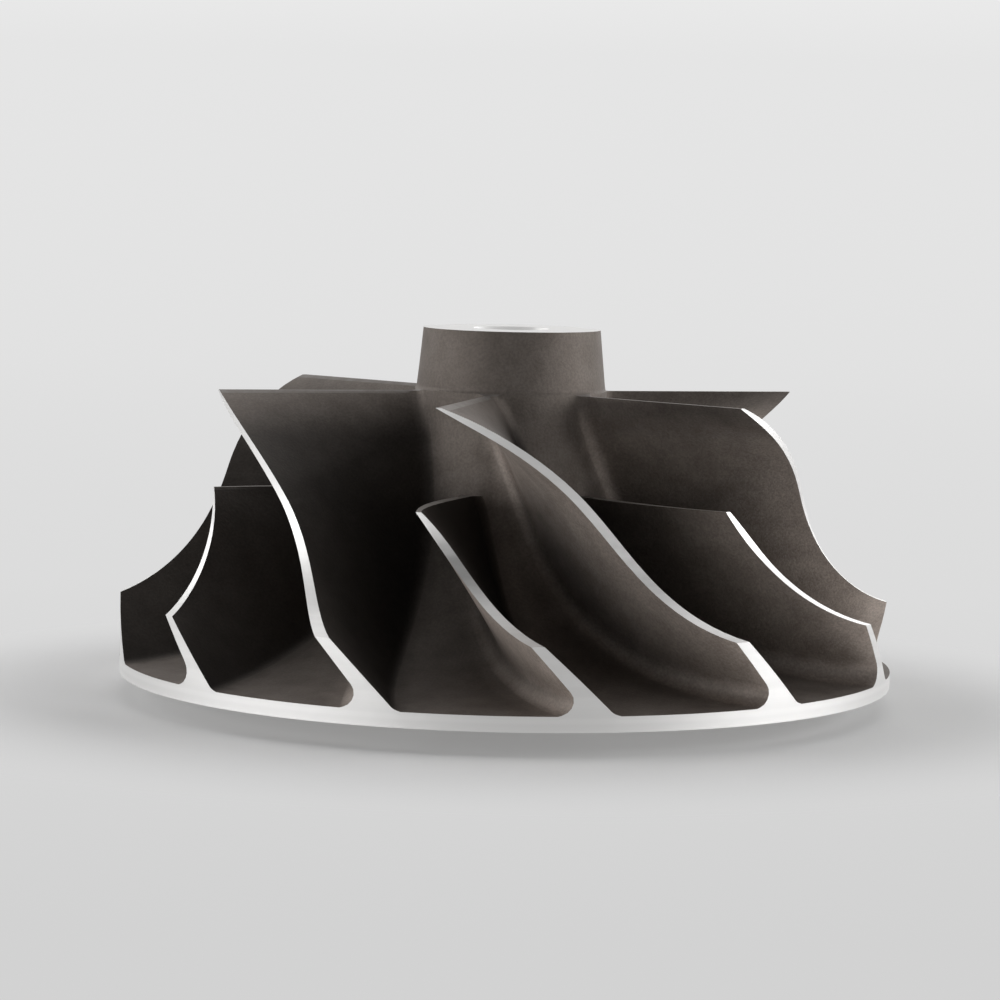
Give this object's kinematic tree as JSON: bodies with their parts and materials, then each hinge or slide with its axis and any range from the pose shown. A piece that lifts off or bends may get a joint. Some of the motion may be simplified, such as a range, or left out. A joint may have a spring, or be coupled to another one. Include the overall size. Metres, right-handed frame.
{
  "type": "compressor wheel",
  "caption": "Cast and turned aluminium turbocharger compressor wheel with full and splitter blades swept back around a bored hub.",
  "frame": {"origin": "centre of the back boss face, on the wheel's axis", "axes": "+Z is the wheel's axis, pointing at the inlet; -Y faces the view in which the first full blade's root runs down the front left"},
  "size_m": [0.068, 0.068, 0.0326],
  "materials": {
    "cast_aluminium": "as-cast satin on hub and blades, bright turned on the edges, rim, back, nose and bore"
  },
  "bodies": {
    "root": {"compressor_wheel": "cast_aluminium"}
  },
  "joints": []
}
